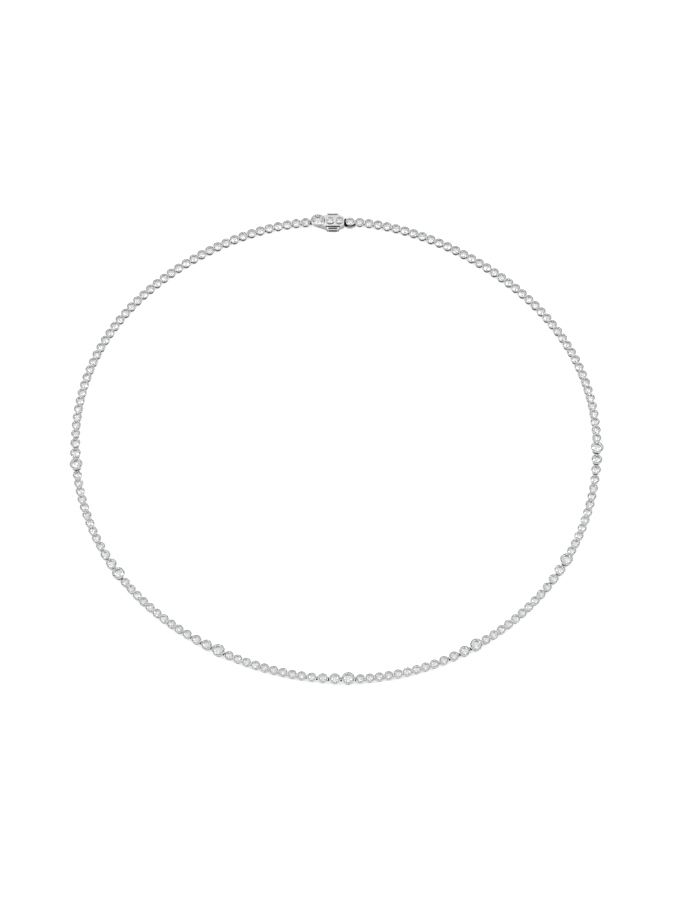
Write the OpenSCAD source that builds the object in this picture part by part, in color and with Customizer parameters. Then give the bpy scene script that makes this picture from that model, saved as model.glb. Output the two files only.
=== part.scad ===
// Riviere necklace: round stones in tapered collets, hinged one to the next, closed by a box clasp.
// The fastened necklace lies flat in a loop with its stones up. Millimetres.
// The clasp is at the back (+Y), the front centre stone at the front (-Y), and Z = 0 is the surface.
// Links are counted clockwise seen from above, from the tongue's own collet round to the clasp box.

/* [Stones] */
// Diameter of the small stones
small_stone_d = 1.78; // [1.6:0.02:2]
// Diameter of the accent stones
accent_stone_d = 3.05; // [2.6:0.05:3.3]
// Diameter of the stone in the tongue's collet
tongue_stone_d = 2.0; // [1.8:0.02:2.2]
// Diameter of the large stone at the end of the clasp box
clasp_end_stone_d = 2.95; // [2.6:0.05:3.1]
// Diameter of the two small stones on the clasp box
clasp_stone_d = 1.85; // [1.6:0.05:1.85]

/* [Run of links] */
// Small links between the tongue's collet and the first accent
links_right_back = 41; // [30:1:50]
// Small links between the last graduated link and the clasp box
links_left_back = 39; // [30:1:50]
// Accent links
accents = 7; // [3:2:9]
// Small links between a graduated link and the next accent
links_between = 9; // [6:1:12]

/* [Collets] */
// Width of the metal rim round a stone
rim_w = 0.26; // [0.22:0.01:0.3]
// Height of the rim above the stone's girdle
lip_h = 0.12; // [0.08:0.01:0.16]
// Room under a stone's point for the hinge
hinge_room = 0.56; // [0.54:0.02:0.8]
// Slope of a collet's side from upright, in degrees
collet_slope = 18; // [12:1:18]
// Thickness of a collet's wall at its foot
foot_wall = 0.22; // [0.18:0.01:0.26]
// Bevel round the outside of a rim
rim_bevel = 0.07; // [0.04:0.01:0.1]
// Clearance between a stone and its seat
stone_gap = 0.03; // [0.02:0.01:0.05]

/* [Hinges] */
// Space between the rims of two neighbours
link_gap = 0.18; // [0.16:0.01:0.3]
// Diameter of the hinge bar
bar_d = 0.2; // [0.18:0.01:0.22]
// Clearance round the bar inside the eye
bar_gap = 0.125; // [0.11:0.005:0.13]
// Thickness of the metal round the eye's hole
eye_wire = 0.135; // [0.12:0.005:0.145]
// Width of the eye and its arm
eye_w = 0.38; // [0.3:0.02:0.4]
// Clearance on each side of the eye in its slot
eye_side_gap = 0.14; // [0.12:0.01:0.16]
// Height of the hinge bars above the links' feet
hinge_h = 0.37; // [0.37:0.01:0.42]
// Distance of a hinge bar behind the collet's outer surface
bar_inset = 0.27; // [0.25:0.01:0.3]

/* [Lie] */
// How far the links lean outwards, in degrees
lean = 5; // [0:0.5:8]
// Links over which the lean fades out beside the clasp
lean_fade = 6; // [3:1:10]
// How far the loop is out of round, as a share of its radius
oval = 0.009; // [0:0.001:0.02]
// Direction of the loop's long axis, in degrees from +X
oval_angle = -61; // [-90:1:90]
// How far the loop runs straight on past the clasp box's round end
straight_past = 0.8; // [0.4:0.1:1]

/* [Clasp box] */
// Length of the clasp box, from its round end to its mouth
box_len = 9; // [8.8:0.1:10.5]
// Height of the rims on the clasp box
box_rim_h = 2.5; // [2.4:0.05:2.8]
// Height of the deck that carries the two small collets
deck_h = 2.15; // [2.1:0.01:2.2]
// Width of the clasp box at the buttons
box_w = 3.4; // [3.2:0.05:3.7]
// Width of the clasp box at its mouth
mouth_w = 2.3; // [2.2:0.05:2.8]
// Outer diameter of the round end at its widest
end_d = 3.94; // [3.8:0.02:4.2]
// Outer diameter of the round end at its foot
end_foot_d = 1.9; // [1.8:0.05:2.4]
// Height of the sloping rim of the round end
end_rim_h = 0.28; // [0.2:0.02:0.34]
// Width of that slope
end_rim_w = 0.36; // [0.3:0.02:0.36]
// Height of that rim above its stone's girdle
end_lip_h = 0.28; // [0.12:0.02:0.3]
// Thickness of the clasp box's side walls
box_wall = 0.3; // [0.25:0.01:0.32]
// Thickness of the clasp box's floor
floor_h = 0.6; // [0.5:0.01:0.6]
// Inner height of the clasp box
room_h = 1.28; // [1.2:0.01:1.3]
// Length of the room inside the clasp box, from its mouth
room_len = 5.6; // [5.4:0.1:5.7]
// Diameter of the small collets' foot on the deck
clasp_collet_foot_d = 2.0; // [1.9:0.02:2.1]
// Distance from the mouth to the first small stone
clasp_stone_1_in = 1.25; // [1.2:0.05:1.4]
// Space between the other small collet and the round end
clasp_stone_2_gap = 0.12; // [0.08:0.02:0.3]

/* [Push buttons] */
// Length of a button along the clasp
button_len = 3.4; // [3:0.1:3.6]
// How far a button stands out of the clasp box
button_out = 1.1; // [0.8:0.05:1.3]
// Travel of a button
button_travel = 0.4; // [0.2:0.05:0.4]
// Space between the tongue and a button that is pressed in
button_rest_gap = 0.09; // [0.06:0.01:0.12]
// Radius of a button's corners
button_corner = 0.5; // [0.3:0.05:0.6]
// Bevel along a button's upper and lower front edges
button_bevel = 0.2; // [0.1:0.02:0.26]
// Clearance round a button in its window
button_gap = 0.06; // [0.04:0.01:0.08]
// Thickness of the flange that keeps a button in
flange_t = 0.2; // [0.15:0.01:0.2]
// How far the flange reaches past the window at each end
flange_reach = 0.25; // [0.2:0.05:0.3]
// Distance from the mouth to the middle of the buttons
button_in = 3.0; // [2.9:0.05:3.1]

/* [Tongue] */
// Thickness of the tongue
tongue_t = 0.45; // [0.4:0.01:0.5]
// Height of the tongue above the clasp box's floor
tongue_lift = 0.15; // [0.1:0.01:0.2]
// Length of the tongue inside the clasp box
tongue_in = 5.2; // [4.8:0.1:5.3]
// Clearance round the tongue in the mouth
mouth_gap = 0.08; // [0.06:0.01:0.12]
// Space between the mouth and the ring round the foot of the tongue's collet
tongue_space = 0.2; // [0.15:0.05:0.5]
// Height of the tongue's collet
tongue_collet_h = 1.75; // [1.6:0.05:2]
// Taper of that collet: how much narrower its foot is than its rim, all round
tongue_taper = 0.12; // [0.06:0.02:0.2]
// Height of the ring round its foot
base_ring_h = 0.5; // [0.4:0.02:0.7]
// How far that ring stands out past the rim
base_ring_out = 0.22; // [0.1:0.02:0.24]

/* [Hidden] */
$fn = 32;

// Sizes of the links: share of the way from the small size to the accent size
SMALL = 0;
FOURTH = 0.27;
THIRD = 0.41;
SECOND = 0.6;
ACCENT = 1;

// Proportions of a cut stone, as shares of its diameter
table_share = 0.57;
crown_share = 0.15;
pavilion_share = 0.43;
girdle_share = 0.02;

// Where the kites' side corners lie, as a share of the crown's height, and where the long facets
// under the girdle end, as a share of the way out from the point
kite_share = 0.55;
lower_share = 0.5;
main_facets = 8;

sides = main_facets * 2;
pavilion_slope = 2 * pavilion_share;

// How far joined shapes run into each other, and how far a cut runs past what it cuts
overlap = 0.05;
past = 2;

function stone_d(size) = small_stone_d + size * (accent_stone_d - small_stone_d);
function rim_r(d) = d / 2 + rim_w;
function girdle_h(d) = hinge_room + pavilion_share * d;
function collet_h(d) = girdle_h(d) + lip_h;
function side_r(d, z) = rim_r(d) - (collet_h(d) - z) * tan(collet_slope);
function foot_r(d) = side_r(d, 0);
function bar_x(d) = side_r(d, hinge_h) - bar_inset;

eye_hole_r = bar_d / 2 + bar_gap;
eye_r = eye_hole_r + eye_wire;
slot_w = eye_w + 2 * eye_side_gap;
slot_reach = eye_r + bar_gap;

// The order of the links, after the tongue's own collet
group = [ACCENT, SECOND, THIRD, FOURTH];
function run_after(a) = a < accents ? links_between : links_left_back;
order = concat(
    [for (i = [1:links_right_back]) SMALL],
    [for (a = [1:accents]) each concat(group, [for (i = [1:run_after(a)]) SMALL])]
);
count = len(order);
middle = (accents + 1) / 2;
group_step = len(group) + links_between;
front = links_right_back + (middle - 1) * group_step;

function accent_at(a) = links_right_back + (a - 1) * group_step;

// The clasp in its own frame: +X towards the mouth, +Y away from the neck, the box's middle at x = 0
mouth_x = box_len / 2;
end_x = -box_len / 2 + end_d / 2;
end_flare = (end_d - end_foot_d) / 2;
end_side_h = box_rim_h - end_rim_h;
clasp_bar_in = end_flare * (1 - hinge_h / end_side_h) + bar_inset;
clasp_bar_x = -box_len / 2 + clasp_bar_in;
clasp_stone_x = [mouth_x - clasp_stone_1_in, end_x + end_d / 2 + clasp_stone_2_gap + rim_r(clasp_stone_d)];
button_x = mouth_x - button_in;
button_h = room_h - 2 * button_gap;
button_z = floor_h + button_gap;
button_reach = box_w / 2 + button_out;
flange_y = box_w / 2 - box_wall - button_gap;
flange_len = button_len + 2 * flange_reach;
tongue_w = 2 * (flange_y - flange_t - button_travel - button_rest_gap);
tongue_z = floor_h + tongue_lift;
tongue_rim_r = rim_r(tongue_stone_d);
base_ring_r = tongue_rim_r + base_ring_out;
tongue_collet_x = mouth_x + tongue_space + base_ring_r;

// The straight stretch of the loop runs from just before the clasp box to the first link's bar
diameters = [for (size = order) stone_d(size)];
function bar_depth(d) = rim_r(d) - bar_x(d);
rigid_start = -box_len / 2 - straight_past;
rigid_end = tongue_collet_x + tongue_rim_r + link_gap + bar_depth(diameters[0]);

// Each link runs from its own bar to the next one. bars holds the bars' distances along the loop
next_depths = [for (i = [1:count]) i < count ? bar_depth(diameters[i]) : clasp_bar_in];
lengths = [for (i = [0:count - 1]) bar_x(diameters[i]) + rim_r(diameters[i]) + link_gap + next_depths[i]];
bars = [for (i = 0, s = rigid_end; i <= count; s = s + (i < count ? lengths[i] : 0), i = i + 1) s];
loop_len = bars[count] - clasp_bar_x;

// Small waves in the lie of the loop, besides its oval: each wave's number of lobes, its height as a share
// of the loop's radius, and the direction of one crest in degrees from +X
LOBES = 0;
HEIGHT = 1;
CREST = 2;
waves = [
    [3, 0.0013, -59],
    [4, 0.003, 9],
    [5, 0.0026, 12],
    [6, 0.0024, 29]
];

// The loop is a slightly uneven ring, measured clockwise from +Y in steps of one degree
function wave_at(w, t) = w[HEIGHT] * cos(w[LOBES] * (90 - t - w[CREST]));
function ring_r(t) = 1 + total([for (w = concat([[2, oval, oval_angle]], waves)) wave_at(w, t)]);
function total(list) = list * [for (item = list) 1];
function ring_point(t) = ring_r(t) * [sin(t), cos(t)];
steps = [for (t = [0:359]) norm(ring_point(t + 1) - ring_point(t))];
travelled = [for (t = 0, s = 0; t <= 360; s = s + (t < 360 ? steps[t] : 0), t = t + 1) [s, t]];
loop_r = loop_len / travelled[360][0];

function angle_at(s) = lookup((s < 0 ? s + loop_len : s) / loop_r, travelled);
function free_point(s) = loop_r * ring_point(angle_at(s));
function heading(v) = atan2(v[1], v[0]);
function turned(p, a) = [p[0] * cos(a) - p[1] * sin(a), p[0] * sin(a) + p[1] * cos(a)];

// How far the rim of a leaning link stands out from the middle of its foot
function reach(d) = rim_r(d) * cos(lean) + collet_h(d) * sin(lean);

// The loop is turned so that the clasp lies along X, and set so that its outline is centred on the origin
clasp_turn = -heading(free_point(rigid_end) - free_point(rigid_start));
function before_centring(s) = turned(free_point(s), clasp_turn);
middles = [for (i = [0:count - 1]) before_centring(bars[i] + bar_x(diameters[i]))];
reaches = [for (d = diameters) reach(d)];
right_x = max([for (i = [0:count - 1]) middles[i][0] + reaches[i]]);
left_x = min([for (i = [0:count - 1]) middles[i][0] - reaches[i]]);
back_y = before_centring(rigid_end)[1] + button_reach;
front_y = min([for (i = [0:count - 1]) middles[i][1] - reaches[i]]);
centre = [right_x + left_x, back_y + front_y] / 2;

clasp_at = before_centring(rigid_start) - centre - [rigid_start, 0];
straight_from = loop_len + rigid_start;
function on_loop(s) = s > straight_from ? clasp_at + [s - loop_len, 0] : before_centring(s) - centre;

function lean_at(i) = lean * min(1, (i + 1) / lean_fade, (count - i) / lean_fade);

// How much higher a link's foot centre stands because it leans
function lift_of(i) = foot_r(diameters[i]) * sin(lean_at(i));

// Puts a piece made at the origin, pointing along +X, where link i lies
module at_link(i) {
    bar = on_loop(bars[i]);
    next_bar = on_loop(bars[i + 1]);
    translate([bar[0], bar[1], lift_of(i)])
        rotate([0, 0, heading(next_bar - bar)])
            translate([bar_x(diameters[i]), 0, 0])
                rotate([-lean_at(i), 0, 0])
                    children();
}

module at_clasp() {
    translate([clasp_at[0], clasp_at[1], 0])
        children();
}

// A round cut stone with its girdle's foot at z = 0: a table, kites, stars and halves over a faceted point
module brilliant(d) {
    r = d / 2;
    table_r = r * table_share;
    crown = crown_share * d;
    girdle = girdle_share * d;
    pavilion = pavilion_share * d;
    mid_r = (r + table_r) / 2 / cos(180 / sides);
    step = 360 / main_facets;
    function corner(radius, k, z) = [radius * cos(step * k), radius * sin(step * k), z];
    points = concat(
        [for (k = [0:main_facets - 1]) corner(table_r, k, girdle + crown)],
        [for (k = [0:main_facets - 1]) corner(mid_r, k + 1 / 2, girdle + crown * kite_share)],
        [for (k = [0:sides - 1]) corner(r, k / 2, girdle)],
        [for (k = [0:sides - 1]) corner(r, k / 2, 0)],
        [for (k = [0:main_facets - 1]) corner(r * lower_share, k + 1 / 2, -pavilion * (1 - lower_share))],
        [[0, 0, -pavilion]]
    );
    mid = main_facets;
    top = mid + main_facets;
    under = top + sides;
    low = under + sides;
    tip = low + main_facets;
    function next(k) = (k + 1) % main_facets;
    function ring(k) = (k + sides) % sides;
    faces = concat(
        [[for (k = [main_facets - 1:-1:0]) k]],
        [for (k = [0:main_facets - 1]) each [
            [k, next(k), mid + k],
            [next(k), top + ring(2 * k + 2), mid + k],
            [top + ring(2 * k), k, mid + k],
            [top + ring(2 * k), mid + k, top + ring(2 * k + 1)],
            [mid + k, top + ring(2 * k + 2), top + ring(2 * k + 1)],
            [under + ring(2 * k), under + ring(2 * k + 1), low + k],
            [under + ring(2 * k + 1), under + ring(2 * k + 2), low + k],
            [under + ring(2 * k), low + k, tip],
            [low + k, under + ring(2 * k + 2), tip]
        ]],
        [for (k = [0:sides - 1]) [top + k, top + ring(k + 1), under + ring(k + 1), under + k]]
    );
    polyhedron(points = points, faces = faces);
}

// A plainer stone for the small links, with a table, eight crown facets and eight under the girdle.
// A thin round girdle reaches into the collet's wall and joins the two
module small_cut(d) {
    r = d / 2;
    table_r = r * table_share;
    girdle = girdle_share * d;
    step = 360 / main_facets;
    points = concat(
        [for (k = [0:main_facets - 1]) [table_r * cos(step * k), table_r * sin(step * k), crown_share * d]],
        [for (k = [0:main_facets - 1]) [r * cos(step * k), r * sin(step * k), girdle / 2]],
        [[0, 0, -pavilion_share * d]]
    );
    tip = 2 * main_facets;
    function next(k) = (k + 1) % main_facets;
    faces = concat(
        [[for (k = [main_facets - 1:-1:0]) k]],
        [for (k = [0:main_facets - 1]) [k, next(k), main_facets + next(k), main_facets + k]],
        [for (k = [0:main_facets - 1]) [main_facets + k, main_facets + next(k), tip]]
    );
    polyhedron(points = points, faces = faces);
    cylinder(r = r + stone_gap + overlap, h = girdle);
}

// The outline of a collet's wall, turned round Z: an open foot, a seat for the stone and a bevelled rim
module collet_wall(d, h, foot) {
    seat_r = d / 2 + stone_gap;
    seat_z = h - lip_h - stone_gap;
    throat_r = d / 2 - rim_w / 2;
    throat_z = seat_z - (seat_r - throat_r) * pavilion_slope;
    rotate_extrude()
        polygon([
            [foot - foot_wall, 0],
            [foot, 0],
            [rim_r(d), h - rim_bevel],
            [rim_r(d) - rim_bevel, h],
            [seat_r, h],
            [seat_r, seat_z],
            [throat_r, throat_z]
        ]);
}

// The slot that a neighbour's eye enters, and the bar across it. x is the bar's place
module eye_slot(x) {
    translate([x - past, -slot_w / 2, -past])
        cube([past + slot_reach, slot_w, past + hinge_h + slot_reach]);
}

module hinge_bar(x) {
    translate([x, 0, hinge_h])
        rotate([90, 0, 0])
            cylinder(d = bar_d, h = slot_w + 2 * bar_gap, center = true);
}

// The eye round the neighbour's bar at [x, z], on an arm from this piece's wall at x = from
module hinge_eye(from, x, z) {
    translate([0, eye_w / 2, 0])
        rotate([90, 0, 0])
            linear_extrude(height = eye_w)
                difference() {
                    union() {
                        translate([x, z])
                            circle(r = eye_r);
                        translate([from, z - eye_wire])
                            square([x - from, 2 * eye_wire]);
                    }
                    translate([x, z])
                        circle(r = eye_hole_r);
                }
}

// How high the next piece's bar is, seen from link i
function next_bar_z(i) = hinge_h + (i + 1 < count ? lift_of(i + 1) : 0) - lift_of(i);

module setting(i) {
    d = diameters[i];
    wall_x = side_r(d, hinge_h);
    difference() {
        collet_wall(d, collet_h(d), foot_r(d));
        eye_slot(-bar_x(d));
    }
    hinge_bar(-bar_x(d));
    hinge_eye(wall_x - overlap, lengths[i] - bar_x(d), next_bar_z(i));
}

// A small link is one solid: its stone's girdle is let into the wall
module small_link(i) {
    d = stone_d(SMALL);
    setting(i);
    translate([0, 0, girdle_h(d)])
        small_cut(d);
}

module seated_stone(d, h, lip = lip_h) {
    translate([0, 0, h - lip])
        brilliant(d);
}

module chain(first, last) {
    color("silver")
        for (i = [first:last])
            if (order[i] == SMALL)
                at_link(i)
                    small_link(i);
}

module accent_link(a) {
    color("silver")
        at_link(accent_at(a))
            setting(accent_at(a));
}

module accent_stone(a) {
    d = stone_d(ACCENT);
    color("white")
        at_link(accent_at(a))
            seated_stone(d, collet_h(d));
}

module graduated_links(a) {
    color("silver")
        for (i = [accent_at(a) + 1:accent_at(a) + len(group) - 1])
            at_link(i)
                setting(i);
}

module graduated_stones(a) {
    color("white")
        for (i = [accent_at(a) + 1:accent_at(a) + len(group) - 1])
            at_link(i)
                seated_stone(diameters[i], collet_h(diameters[i]));
}

// The clasp box seen from above, or its room when drawn in by inset. It is straight beside the buttons
// and narrows towards the mouth
module box_outline(inset = 0) {
    half_w = box_w / 2 - inset;
    half_mouth_w = mouth_w / 2 - inset;
    half_end_w = end_foot_d / 2 - inset;
    straight = flange_len / 2 + button_gap;
    polygon([
        [end_x, -half_end_w],
        [button_x - straight, -half_w],
        [button_x + straight, -half_w],
        [mouth_x, -half_mouth_w],
        [mouth_x, half_mouth_w],
        [button_x + straight, half_w],
        [button_x - straight, half_w],
        [end_x, half_end_w]
    ]);
}

module clasp_room() {
    translate([0, 0, floor_h])
        linear_extrude(height = room_h)
            intersection() {
                box_outline(box_wall);
                translate([mouth_x - room_len, -box_w / 2])
                    square([room_len - box_wall, box_w]);
            }
}

module seat_cut(d, lip) {
    seat_r = d / 2 + stone_gap;
    seat_z = box_rim_h - lip - stone_gap;
    rotate_extrude()
        polygon([
            [0, seat_z - seat_r * pavilion_slope],
            [seat_r, seat_z],
            [seat_r, box_rim_h + past],
            [0, box_rim_h + past]
        ]);
}

module button_windows() {
    window_len = button_len + 2 * button_gap;
    translate([button_x - window_len / 2, -box_w, floor_h])
        cube([window_len, 2 * box_w, room_h]);
}

module clasp_box() {
    color("silver")
        at_clasp() {
            difference() {
                union() {
                    linear_extrude(height = deck_h)
                        box_outline();
                    translate([end_x, 0, 0])
                        rotate_extrude()
                            polygon([
                                [0, 0],
                                [end_foot_d / 2, 0],
                                [end_d / 2, end_side_h],
                                [end_d / 2 - end_rim_w, box_rim_h],
                                [0, box_rim_h]
                            ]);
                    for (x = clasp_stone_x)
                        translate([x, 0, deck_h - overlap])
                            cylinder(
                                d1 = clasp_collet_foot_d,
                                d2 = clasp_stone_d + 2 * rim_w,
                                h = box_rim_h - deck_h + overlap
                            );
                }
                clasp_room();
                translate([mouth_x - past, -tongue_w / 2 - mouth_gap, tongue_z - mouth_gap])
                    cube([2 * past, tongue_w + 2 * mouth_gap, tongue_t + 2 * mouth_gap]);
                button_windows();
                translate([end_x, 0, 0])
                    seat_cut(clasp_end_stone_d, end_lip_h);
                for (x = clasp_stone_x)
                    translate([x, 0, 0])
                        seat_cut(clasp_stone_d, lip_h);
                eye_slot(clasp_bar_x);
            }
            hinge_bar(clasp_bar_x);
        }
}

// The tongue's collet is nearly straight. It stands on a wider ring that carries the hinge eye
module clasp_tongue() {
    foot = tongue_rim_r - tongue_taper;
    color("silver")
        at_clasp() {
            translate([tongue_collet_x, 0, 0]) {
                collet_wall(tongue_stone_d, tongue_collet_h, foot);
                difference() {
                    cylinder(r = base_ring_r, h = base_ring_h);
                    translate([0, 0, -past])
                        cylinder(r = foot - foot_wall / 2, h = base_ring_h + 2 * past);
                }
                hinge_eye(base_ring_r - overlap, rigid_end - tongue_collet_x, hinge_h + lift_of(0));
            }
            translate([mouth_x - tongue_in, -tongue_w / 2, tongue_z])
                cube([tongue_in + tongue_collet_x - mouth_x - foot + foot_wall, tongue_w, tongue_t]);
        }
}

// A push button on the +Y side: a block with round front corners and bevelled edges, and a flange
// inside the wall
module push_button() {
    back_y = flange_y - flange_t;
    corner_x = button_len / 2 - button_corner;
    corner_y = button_reach - button_corner;
    intersection() {
        translate([button_x, 0, button_z])
            linear_extrude(height = button_h)
                union() {
                    translate([-button_len / 2, back_y])
                        square([button_len, corner_y - back_y]);
                    translate([-corner_x, back_y])
                        square([2 * corner_x, button_reach - back_y]);
                    for (side = [-1, 1])
                        translate([side * corner_x, corner_y])
                            circle(r = button_corner);
                }
        translate([button_x - button_len, 0, button_z])
            rotate([90, 0, 90])
                linear_extrude(height = 2 * button_len)
                    polygon([
                        [0, 0],
                        [button_reach - button_bevel, 0],
                        [button_reach, button_bevel],
                        [button_reach, button_h - button_bevel],
                        [button_reach - button_bevel, button_h],
                        [0, button_h]
                    ]);
    }
    translate([button_x - flange_len / 2, back_y, button_z])
        cube([flange_len, flange_t, button_h]);
}

module button_outer() {
    color("gainsboro")
        at_clasp()
            push_button();
}

module button_inner() {
    color("gainsboro")
        at_clasp()
            mirror([0, 1, 0])
                push_button();
}

module clasp_stone(x, d, lip = lip_h) {
    color("white")
        at_clasp()
            translate([x, 0, 0])
                seated_stone(d, box_rim_h, lip);
}

module tongue_stone() {
    color("white")
        at_clasp()
            translate([tongue_collet_x, 0, 0])
                seated_stone(tongue_stone_d, tongue_collet_h);
}

clasp_box();
clasp_tongue();
button_outer();
button_inner();
clasp_stone(end_x, clasp_end_stone_d, end_lip_h);  // clasp_end_stone
clasp_stone(clasp_stone_x[0], clasp_stone_d);  // clasp_stone_1
clasp_stone(clasp_stone_x[1], clasp_stone_d);  // clasp_stone_2
tongue_stone();
for (a = [1:accents]) {
    accent_link(a);
    accent_stone(a);
    graduated_links(a);
    graduated_stones(a);
}
chain(0, front - 1);  // chain_right
chain(front + 1, count - 1);  // chain_left
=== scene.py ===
"""A riviere necklace: round stones in hinged collets, lying in a loop, closed by a box clasp.

Lengths are in millimetres up to the line that makes a mesh, which turns them to metres.
"""
import math

import bmesh
import bpy
import numpy as np
from mathutils import Matrix, Vector


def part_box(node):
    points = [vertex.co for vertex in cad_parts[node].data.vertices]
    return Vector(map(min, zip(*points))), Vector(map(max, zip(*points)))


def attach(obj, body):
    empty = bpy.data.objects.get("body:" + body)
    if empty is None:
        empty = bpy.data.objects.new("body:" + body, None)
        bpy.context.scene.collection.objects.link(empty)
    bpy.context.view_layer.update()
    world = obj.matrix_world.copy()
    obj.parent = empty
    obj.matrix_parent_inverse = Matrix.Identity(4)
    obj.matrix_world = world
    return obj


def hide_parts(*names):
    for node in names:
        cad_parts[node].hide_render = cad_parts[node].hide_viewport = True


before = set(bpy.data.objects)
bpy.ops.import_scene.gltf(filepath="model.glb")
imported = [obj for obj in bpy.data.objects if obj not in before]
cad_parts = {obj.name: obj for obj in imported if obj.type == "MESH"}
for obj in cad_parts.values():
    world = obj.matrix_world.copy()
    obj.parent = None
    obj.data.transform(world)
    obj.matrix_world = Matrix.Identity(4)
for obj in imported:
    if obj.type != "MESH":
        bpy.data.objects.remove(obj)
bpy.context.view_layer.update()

MM = 0.001

# Collets, as the solids have them
RIM_W = 0.26
LIP_H = 0.12
HINGE_ROOM = 0.56
SLOPE = math.tan(math.radians(18))
FOOT_WALL = 0.22
STONE_GAP = 0.03
BAR_INSET = 0.27
SLOT_W = 0.66

# Hinges: a bar across a collet's slot, and its neighbour's eye and arm
HINGE_H = 0.37
BAR_R = 0.1
BAR_GAP = 0.125
EYE_WIRE = 0.135
EYE_W = 0.38
OVERLAP = 0.05
EYE_HOLE_R = BAR_R + BAR_GAP
EYE_R = EYE_HOLE_R + EYE_WIRE
SLOT_REACH = EYE_R + BAR_GAP

# Stop plates between neighbouring rims
STOP_T = 0.2
STOP_W = 0.6
STOP_DOWN = 0.12
STOP_FOOT = HINGE_H + EYE_WIRE - OVERLAP

# Rounded and bevelled edges
RIM_ROUND = 0.12
RIM_UNDERCUT = 10
LIP_ROUND = 0.035
FOOT_EDGE = 0.03
BEVEL = 0.04
BOX_EDGE = 0.04
BUTTON_EDGE = 0.03
EDGE_STEPS = 2
RING_ROUND = 0.12

# Sides of the turned solids
BAR_SIDES = 12
EYE_SIDES = 20
CLASP_COLLET_SIDES = 56
TONGUE_SIDES = 64
END_SIDES = 72

# Cut stones, as shares of their diameter
TABLE = 0.57
CROWN = 0.15
PAVILION = 0.43
GIRDLE = 0.02
STAR_LENGTH = 0.5
LOWER_LENGTH = 0.77
MAINS = 8

# Clasp box, in its own frame: +X towards the mouth, +Y away from the neck
BOX_LEN = 9.0
BOX_RIM_H = 2.5
DECK_H = 2.15
BOX_W = 3.4
MOUTH_W = 2.3
BOX_WALL = 0.3
FLOOR_H = 0.6
ROOM_H = 1.28
ROOM_TOP = FLOOR_H + ROOM_H
ROOM_LEN = 5.6
MOUTH_X = BOX_LEN / 2
MOUTH_GAP = 0.08
CLASP_BAR_X = -3.38
PAST = 2.0

# The box's round end and the two small collets on its deck
END_D = 3.94
END_FOOT_D = 1.9
END_RIM_H = 0.28
END_RIM_W = 0.36
END_LIP_H = 0.28
END_X = -BOX_LEN / 2 + END_D / 2
END_STONE_D = 2.95
CLASP_FOOT_D = 2.0
CLASP_FOOT_DEPTH = 0.3
CLASP_STONE_D = 1.85
CLASP_STONE_X = (3.25, 0.745)

# Push buttons
BUTTON_X = 1.5
BUTTON_LEN = 3.4
BUTTON_REACH = 2.8
BUTTON_CORNER = 0.5
BUTTON_BEVEL = 0.2
BUTTON_GAP = 0.06
BUTTON_H = ROOM_H - 2 * BUTTON_GAP
FLANGE_Y = 1.34
FLANGE_T = 0.2
FLANGE_LEN = 3.9
STRAIGHT_HALF = FLANGE_LEN / 2 + BUTTON_GAP

# Tongue, its collet and the ring under it
TONGUE_W = 1.3
TONGUE_T = 0.45
TONGUE_Z = 0.75
TONGUE_IN = 5.2
TONGUE_X = 6.18
TONGUE_H = 1.75
TONGUE_STONE_D = 2.0
TONGUE_RIM_R = 1.26
TONGUE_TAPER = 0.12
TONGUE_FOOT_R = TONGUE_RIM_R - TONGUE_TAPER
TONGUE_WAIST = 1.0
SHOULDER_W = 2.0
SHOULDER_H = 1.5
BASE_RING_R = 1.48
BASE_RING_H = 0.5

# Where the clasp's finishes and its painted shade, light and reflections change
NEAR = 0.02
FLAT = 0.98
TOUCH = 0.0001
STEEP = 0.5
SEAT_SLOPE = (0.6, 0.9)
ABOVE_DECK = 0.03
RIM_TOP = 0.06
END_RIM_INSIDE = 0.1
# The painted shadow line on the wall above the near window
OVER_WINDOW_HALF = 2.0
OVER_WINDOW_Y = 0.98 * BOX_W / 2
OVER_WINDOW_TOP = DECK_H + 0.1
COLLET_SLACK = 0.05
# The inner button's ends with painted dark reflection
BUTTON_END = 0.22
BUTTON_FOOT = 0.3
TONGUE_RIM_Z = TONGUE_H * 0.93
# Painted shade by the tongue's mouth starts here
TONGUE_MOUTH_X = TONGUE_X - TONGUE_RIM_R * 0.7
BAND_DEPTH = 0.2


def rim_r(d):
    return d / 2 + RIM_W


def girdle_h(d):
    return HINGE_ROOM + PAVILION * d


def collet_h(d):
    return girdle_h(d) + LIP_H


def side_r(d, z):
    return rim_r(d) - (collet_h(d) - z) * SLOPE


def bar_x(d):
    return side_r(d, HINGE_H) - BAR_INSET


# Drawing meshes

def new_mesh(name, bm, sharp=30):
    """A mesh in metres from one drawn in millimetres, smooth but for edges steeper than sharp degrees."""
    bmesh.ops.recalc_face_normals(bm, faces=bm.faces)
    bmesh.ops.scale(bm, vec=(MM, MM, MM), verts=bm.verts)
    mesh = bpy.data.meshes.new(name)
    bm.to_mesh(mesh)
    bm.free()
    mesh.shade_smooth()
    mesh.set_sharp_from_angle(angle=math.radians(sharp))
    return mesh


def new_object(name, mesh):
    obj = bpy.data.objects.new(name, mesh)
    bpy.context.scene.collection.objects.link(obj)
    return obj


def arc(centre, radius, start, end, steps):
    """Points on an arc, from start to end degrees."""
    angles = [math.radians(start + (end - start) * k / steps) for k in range(steps + 1)]
    return [(centre[0] + radius * math.cos(a), centre[1] + radius * math.sin(a)) for a in angles]


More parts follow.
